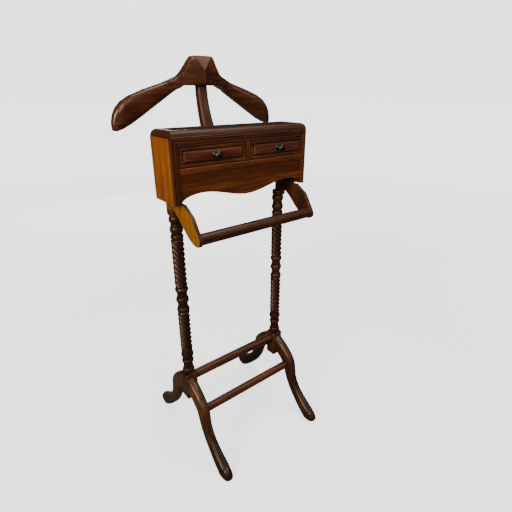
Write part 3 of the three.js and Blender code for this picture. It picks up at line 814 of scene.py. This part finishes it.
def add_rim():
    """Four mitred mouldings round the tray."""
    left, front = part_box("rim_left")[0].x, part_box("rim_front")[0].y
    right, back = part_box("rim_right")[1].x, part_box("rim_back")[1].y
    profile = [(inset * MM, up * MM) for inset, up in rim_profile()]
    edge = profile[0][0]
    left, front, right, back = left - edge, front - edge, right + edge, back + edge
    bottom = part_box("rim_front")[0].z
    corners = {
        "front": (Vector((left, front, 0)), Vector((right, front, 0)), Vector((0, 1, 0))),
        "right": (Vector((right, front, 0)), Vector((right, back, 0)), Vector((-1, 0, 0))),
        "back": (Vector((right, back, 0)), Vector((left, back, 0)), Vector((0, -1, 0))),
        "left": (Vector((left, back, 0)), Vector((left, front, 0)), Vector((1, 0, 0))),
    }
    for name, (start, finish, inward) in corners.items():
        along = (finish - start).normalized()
        rings = []
        for corner, step in ((start, along), (finish, -along)):
            rings.append([corner + inward * inset + step * (inset + MITRE_GAP) + Vector((0, 0, bottom + up))
                          for inset, up in profile])
        grain = "X" if name in ("front", "back") else "Y"
        add_piece(f"rim_{name}_moulded", loft(rings), grained("dull", grain), [f"rim_{name}"], sharp=30)


# -------------------------------------------------------------------- drawers

FRONT_STEPS = (
    (0.0, 13.0), (0.0, 5.6), (1.1, 5.2), (1.4, 3.4), (1.8, 2.8), (2.5, 2.5), (7.6, 2.5), (8.1, 2.9),
    (8.5, 4.6), (10.3, 4.6), (10.7, 2.8), (11.2, 1.8), (13.4, 0.5), (14.2, 0.0), (15.0, 0.0),
)
# Painted shade: groove faces set further back than this get dark wood as a shadow line.
SHADED_GROOVE_START = 3.3


def add_drawer(side):
    """A drawer's panelled front and knob; its box keeps the CAD shape."""
    body = f"{side}_drawer"
    low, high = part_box(f"{side}_drawer_front")
    rings = []
    for inset, back in FRONT_STEPS:
        i = inset * MM
        y = low.y + back * MM
        rings.append([(low.x + i, y, low.z + i), (high.x - i, y, low.z + i),
                      (high.x - i, y, high.z - i), (low.x + i, y, high.z - i)])
    front = add_piece(f"{side}_drawer_front_panelled", loft(rings), grained("red", "X"),
                      [f"{side}_drawer_front"], body=body, sharp=20)
    # Painted shade: the groove round the field gets the dark deep wood as a shadow line.
    shaded_groove_depth = low.y + SHADED_GROOVE_START * MM
    paint_where(front, grained("deep", "X"), lambda face: face.center.y > shaded_groove_depth)
    for part in ("outer_side", "inner_side"):
        carry_over(f"{side}_drawer_{part}", grained("inner", "Y"))
    for part in ("back", "bottom"):
        carry_over(f"{side}_drawer_{part}", grained("inner", "X"))
    carry_over(f"{side}_knob_screw", STEEL, bevel=0.0)
    add_knob(side, body)


KNOB_STEM = ((0.02, 0), (8.2, 0), (8.6, 0.4), (8.6, 1.2), (7.6, 1.9), (6.2, 2.2), (5.0, 3.2), (4.5, 4.6),
             (4.4, 6.4), (4.9, 8.0), (6.2, 8.8), (7.0, 9.0), (7.2, 9.6))
KNOB_TIP = 0.02
KNOB_RADIUS = 9.9
KNOB_CROWN_MIDDLE = 15.0
KNOB_CROWN_RISE = 6.9
KNOB_CROWN_ANGLES = (-34, 90)
KNOB_CROWN_STEPS = 15
KNOB_SIDES = 56


def add_knob(side, body):
    low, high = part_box(f"{side}_knob")
    centre = (low + high) / 2
    profile = list(KNOB_STEM)
    for angle in np.radians(np.linspace(*KNOB_CROWN_ANGLES, KNOB_CROWN_STEPS)):
        radius = max(KNOB_RADIUS * math.cos(angle), KNOB_TIP)
        profile.append((radius, KNOB_CROWN_MIDDLE + KNOB_CROWN_RISE * math.sin(angle)))
    profile = [(radius * MM, distance * MM) for radius, distance in profile]
    shape = lathe(profile, (centre.x, high.y, centre.z), (0, -1, 0), KNOB_SIDES)
    add_piece(f"{side}_knob_turned", shape, BRONZE, [f"{side}_knob"], body=body, sharp=40)


# ------------------------------------------------------------ neck and hanger

NECK_LINE = ((40.5, 795), (41, 815), (45, 835), (58, 859), (76, 886), (93, 916), (107, 948), (118, 980),
             (125.4, 1012), (129.2, 1047))
NECK_WIDTHS = (42, 41, 39.5, 37, 34, 31, 29, 28)
NECK_DEPTHS = (29, 29, 29, 29, 27, 25, 23.5, 22.5)
NECK_POWER = 5.0
NECK_STEPS = 64
NECK_SIDES = 40


def add_neck():
    path = smooth_path([(y * MM, z * MM) for y, z in NECK_LINE], NECK_STEPS)
    widths = [w * MM for w in NECK_WIDTHS]
    depths = [d * MM for d in NECK_DEPTHS]
    shape = sweep(path, 0, widths, depths, NECK_POWER, sides=NECK_SIDES)
    neck = add_piece("neck_curved", shape, grained("dull", "Z"), ["neck"], sharp=50)
    cut(neck, (0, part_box("neck")[0].y, 0), (0, -1, 0))
    smooth(neck.data, 50)


WING_TOP = ((0, 1115.9), (27, 1115.6), (31.5, 1113.5), (37, 1105), (45, 1090.5), (55, 1075), (64, 1068.5),
            (82, 1061.5), (96, 1056.5), (111, 1051.5), (159, 1037), (196, 1023.5), (218, 1011), (232, 997),
            (241, 982), (245.9, 966))
WING_BOTTOM = ((0, 1046.5), (53, 1046.5), (69, 1037), (113, 1009), (143, 990.5), (171, 973), (197, 957.5),
               (221, 946), (236, 941.5), (245.9, 943))
PROW_Y = 103
PROW_SLOPE = 0.27
PROW_HALF = 60
BLOCK_BACK = 153
WING_SET_BACK = 6
SET_BACK_END = 90
WING_SIDES = 56
WING_THINS_FROM = 215
WING_THIN_RUN = 31
WING_THINNING = 0.8
SQUARE_POWER = 30
TOP_ROUNDS = (26, 105)
BOTTOM_ROUNDS = (50, 72)
TOP_POWER_DROP = 26.6
BOTTOM_POWER_DROP = 27.2
FACET_APEX = Vector((0, PROW_Y, 1082)) * MM
FACET_NORMAL = Vector((0, 6.8, 34)).normalized().cross(Vector((-1, 0, 0)))
BACK_CUT_PLACE = Vector((0, BLOCK_BACK, 1067)) * MM
BACK_CUT_NORMAL = Vector((0, 49, 23)).normalized()
BLOCK_STATIONS = (0.12, 6, 12, 18, 25, 28, 31, 34, 37, 40, 43, 46, 50, 53)
TIP_START = 216
TIP_RUN = 29.9
TIP_STEPS = 18


def wing_ring(x, sign):
    """One section of a wing, x millimetres from the middle."""
    top = np.interp(x, *zip(*WING_TOP))
    bottom = np.interp(x, *zip(*WING_BOTTOM))
    shift = WING_SET_BACK * ease(x, PROW_HALF, SET_BACK_END)
    front = PROW_Y + PROW_SLOPE * min(x, PROW_HALF) + shift
    back = BLOCK_BACK + shift
    thin = math.sqrt(1 - WING_THINNING * max(0.0, (x - WING_THINS_FROM) / WING_THIN_RUN) ** 2)
    half_depth = (back - front) / 2 * thin
    half_height = (top - bottom) / 2
    upper = SQUARE_POWER - TOP_POWER_DROP * ease(x, *TOP_ROUNDS)
    lower = SQUARE_POWER - BOTTOM_POWER_DROP * ease(x, *BOTTOM_ROUNDS)
    ring = []
    for i in range(WING_SIDES):
        turn = TAU * (i + 0.5) / WING_SIDES
        angle = math.atan2(half_height * math.sin(turn), half_depth * math.cos(turn))
        r = rounded_radius(angle, half_depth, half_height, upper if math.sin(turn) > 0 else lower)
        ring.append((sign * x * MM, ((front + back) / 2 + r * math.cos(angle)) * MM,
                     ((top + bottom) / 2 + r * math.sin(angle)) * MM))
    return ring


def crease_round(obj, normal):
    """Marks the edges round the flat faces with that normal as sharp."""
    flat = {face.index for face in obj.data.polygons if face.normal.dot(normal) > 0.9999}
    uses = {}
    for face in obj.data.polygons:
        for key in face.edge_keys:
            uses.setdefault(key, []).append(face.index in flat)
    for edge in obj.data.edges:
        if len(set(uses[tuple(sorted(edge.vertices))])) == 2:
            edge.use_edge_sharp = True


def add_wing(side, sign):
    stations = [*BLOCK_STATIONS, *np.arange(56, TIP_START, 3.0)]
    stations += [TIP_START + TIP_RUN * math.sin(math.pi / 2 * i / TIP_STEPS) for i in range(TIP_STEPS + 1)]
    wing = add_piece(f"{side}_wing_carved", loft([wing_ring(x, sign) for x in stations]),
                     grained("hanger", "X"), [f"{side}_hanger_wing"], sharp=38)
    cut(wing, FACET_APEX, FACET_NORMAL)
    cut(wing, BACK_CUT_PLACE, BACK_CUT_NORMAL)
    smooth(wing.data, 38)
    crease_round(wing, FACET_NORMAL)


# ------------------------------------------------------------ lights and floor

BACKDROP_GLOW = 2.6
FLOOR_GLOW = 1.5
FLOOR_HALF = 60
FILL_FROM = 1.0
FILL_TO = 5.0
FLOOR_BOUNCE = (0.12, 0.11, 0.10)
ROOM_COLOR = (0.93, 0.96, 1, 1)
ROOM_GLOW = 0.05


def add_stage():
    """A pale paper floor: the camera sees it glow, and it lights nothing else."""
    corners = [(x * FLOOR_HALF, y * FLOOR_HALF, 0) for x, y in ((-1, -1), (1, -1), (1, 1), (-1, 1))]
    floor = closed_mesh("floor", corners, [(0, 1, 2, 3)])
    n = Nodes("floor_paper")
    place = n.add("TexCoord", output=3)
    speck = n.add("TexNoise", Vector=place, Scale=30.0, Detail=3.0)
    pale = n.ramp(speck, (0.3, 0.86), (0.7, 0.9))
    seen = n.add("LightPath")
    away = n.add("VectorMath", output=1, settings={"operation": "LENGTH"}, i0=place)
    fill = n.add("MapRange", Value=away, From_Min=FILL_FROM, From_Max=FILL_TO,
                 To_Min=FLOOR_GLOW, To_Max=BACKDROP_GLOW)
    n.set(Base_Color=n.mix(seen, FLOOR_BOUNCE, pale), Roughness=0.9)
    n.set(Emission_Color=(1, 1, 1, 1), Emission_Strength=n.math("MULTIPLY", seen, fill))
    floor.materials.append(n.material)
    obj = bpy.data.objects.new("floor", floor)
    bpy.context.scene.collection.objects.link(obj)


# name, place, point it faces, size, power and colour
LIGHTS = (
    ("overhead", (0.9, -0.4, 4.0), (0, 0, 0), (2.2, 2.2), 80, (1, 1, 1)),
    ("window", (0.9, 3.2, 1.25), (0, 0, 0.9), (1.3, 1.2), 26, (0.96, 0.98, 1.0)),
    ("left_soft", (-2.7, -0.9, 1.9), (0, 0, 0.8), (1.4, 1.4), 100, (1.0, 0.94, 0.86)),
    ("right_soft", (1.9, -2.1, 2.1), (0, 0, 0.9), (0.9, 0.9), 8, (1.0, 0.97, 0.93)),
    ("lamp", (-1.2, -1.5, 2.6), (0, 0, 0.9), (0.3, 0.4), 9, (1.0, 0.98, 0.95)),
    ("front_soft", (-0.9, -3.2, 2.6), (0, 0, 0.9), (1.9, 1.9), 40, (1.0, 0.96, 0.91)),
)


def add_light(name, place, target, size, power, color):
    data = bpy.data.lights.new(name, "AREA")
    data.shape = "RECTANGLE"
    data.size, data.size_y = size
    data.energy = power
    data.color = color
    light = bpy.data.objects.new(name, data)
    light.location = place
    light.rotation_euler = (Vector(target) - Vector(place)).to_track_quat("-Z", "Y").to_euler()
    bpy.context.scene.collection.objects.link(light)


def add_lights():
    """A dim room seen by the lacquer, a bright plain backdrop seen by the camera."""
    world = bpy.data.worlds.new("studio")
    bpy.context.scene.world = world
    world.use_nodes = True
    tree = world.node_tree
    backdrop = tree.nodes["Background"]
    backdrop.inputs["Color"].default_value = (1, 1, 1, 1)
    backdrop.inputs["Strength"].default_value = BACKDROP_GLOW
    room = tree.nodes.new("ShaderNodeBackground")
    room.inputs["Color"].default_value = ROOM_COLOR
    room.inputs["Strength"].default_value = ROOM_GLOW
    ray = tree.nodes.new("ShaderNodeLightPath")
    chosen = tree.nodes.new("ShaderNodeMixShader")
    tree.links.new(ray.outputs["Is Camera Ray"], chosen.inputs["Fac"])
    tree.links.new(room.outputs["Background"], chosen.inputs[1])
    tree.links.new(backdrop.outputs["Background"], chosen.inputs[2])
    tree.links.new(chosen.outputs["Shader"], tree.nodes["World Output"].inputs["Surface"])
    for light in LIGHTS:
        add_light(*light)


# ------------------------------------------------------------------- assembly

def add_hidden_fixings():
    """The dowels and screws inside the joints keep the CAD shape."""
    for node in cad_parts:
        if node.endswith("_dowel"):
            carry_over(node, grained("inner", "Y"), bevel=0.0)
        if "screw" in node and "knob" not in node:
            carry_over(node, STEEL, bevel=0.0)


add_camera()
for side, sign in SIDES:
    add_post(side, sign)
    for end, direction in ENDS:
        add_leg(side, sign, end, direction)
    add_bracket(side, sign)
    add_drawer(side)
    add_wing(side, sign)
add_rod("rear_shoe_rail", "rear_shoe_rail_turned", "rail")
add_rod("front_shoe_rail", "front_shoe_rail_turned", "rail")
add_rod("trouser_bar", "trouser_bar_turned", "dull")
add_cabinet()
add_rim()
carry_over("tray_lining", FELT, bevel=0.5 * MM)
add_neck()
add_hidden_fixings()
add_stage()
add_lights()
